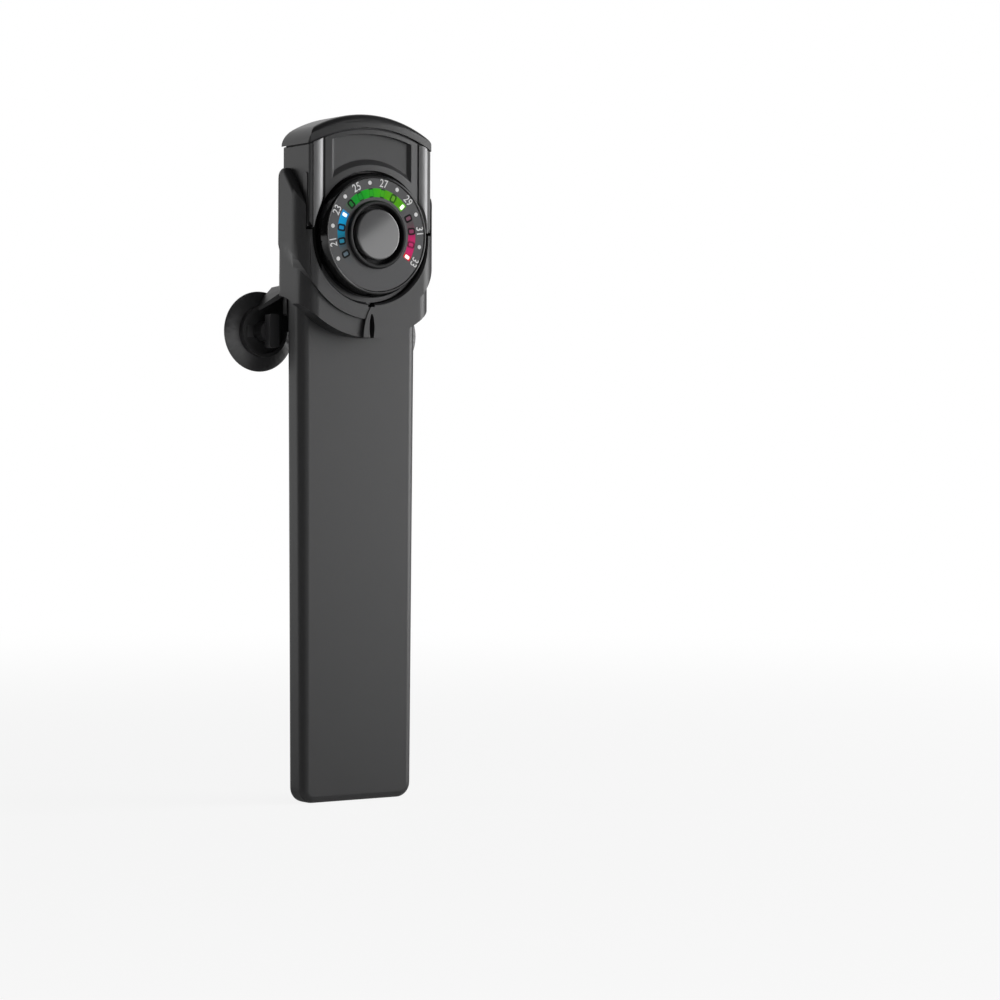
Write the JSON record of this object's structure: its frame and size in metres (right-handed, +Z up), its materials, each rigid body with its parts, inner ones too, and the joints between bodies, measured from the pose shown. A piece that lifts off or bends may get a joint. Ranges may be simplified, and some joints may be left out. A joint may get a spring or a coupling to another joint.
{
  "type": "submersible aquarium heater",
  "caption": "Flat submersible aquarium heater with a push-button light dial, in a clip-on holder with turning suction cups.",
  "frame": {"origin": "on the glass that the suction cups hold to, half way between the two cups", "axes": "+Z up along the heater, front towards -Y, +Y out of the back into the glass, +X to the right of somebody facing the dial"},
  "size_m": [0.0678, 0.0316, 0.2026],
  "materials": {
    "sleeve_plastic": "fine matte grain",
    "head_plastic": "fine matte grain",
    "cover_plastic": "fine matte grain",
    "cap_plastic": "satin",
    "holder_plastic": "fine matte grain",
    "bezel_plastic": "high gloss",
    "face_plastic": "satin, printed in white",
    "blue_lens": "translucent",
    "green_lens": "translucent",
    "red_lens": "translucent",
    "collar_plastic": "satin",
    "button_plastic": "satin",
    "seal_rubber": "matte",
    "cup_vinyl": "glossy, soft",
    "gland_rubber": "satin",
    "board_laminate": "glass-fibre laminate with green mask",
    "chip_plastic": "moulded epoxy",
    "led_package": "white package with clear resin",
    "capacitor_case": "moulded box",
    "screw_steel": "zinc plated",
    "fuse_metal": "satin",
    "wire_insulation": "silicone sleeve",
    "mica": "pearly sheet",
    "heating_alloy": "oxidised ribbon",
    "insulator_film": "mica film",
    "plate_aluminium": "milled"
  },
  "bodies": {
    "holder": {"holder": "holder_plastic"},
    "heater": {"sleeve": "sleeve_plastic", "sleeve_seal": "seal_rubber", "head_shell": "head_plastic", "front_cover": "cover_plastic", "top_cap": "cap_plastic", "cap_seal": "seal_rubber", "bezel": "bezel_plastic", "bezel_seal": "seal_rubber", "dial_face": "face_plastic", "blue_windows": "blue_lens", "green_windows": "green_lens", "red_windows": "red_lens", "button_collar": "collar_plastic", "button_seal": "seal_rubber", "switch_housing": "chip_plastic", "circuit_board": "board_laminate", "board_screws": "screw_steel", "led_chips": "led_package", "control_chip": "chip_plastic", "triac": "chip_plastic", "capacitor": "capacitor_case", "temperature_sensor": "chip_plastic", "thermal_fuse": "fuse_metal", "lead_wires": "wire_insulation", "mica_card": "mica", "heating_wire": "heating_alloy", "front_insulator": "insulator_film", "back_insulator": "insulator_film", "front_heat_plate": "plate_aluminium", "back_heat_plate": "plate_aluminium", "cable_gland": "gland_rubber"},
    "button": {"button": "button_plastic", "switch_plunger": "chip_plastic"},
    "left_cup": {"left_suction_cup": "cup_vinyl"},
    "right_cup": {"right_suction_cup": "cup_vinyl"}
  },
  "joints": [
    {"name": "heater_lift", "type": "slide", "parent": "holder", "child": "heater", "axis": [0, 0, 1], "range_m": [0, 0.19]},
    {"name": "button_press", "type": "slide", "parent": "heater", "child": "button", "axis": [0, 1, 0], "range_m": [0, 0.0008], "stiffness_N_per_m": 400},
    {"name": "left_cup_turn", "type": "hinge", "parent": "holder", "child": "left_cup", "pos_m": [-0.022, 0, 0], "axis": [0, 1, 0], "continuous": true},
    {"name": "right_cup_turn", "type": "hinge", "parent": "holder", "child": "right_cup", "pos_m": [0.022, 0, 0], "axis": [0, 1, 0], "continuous": true}
  ]
}
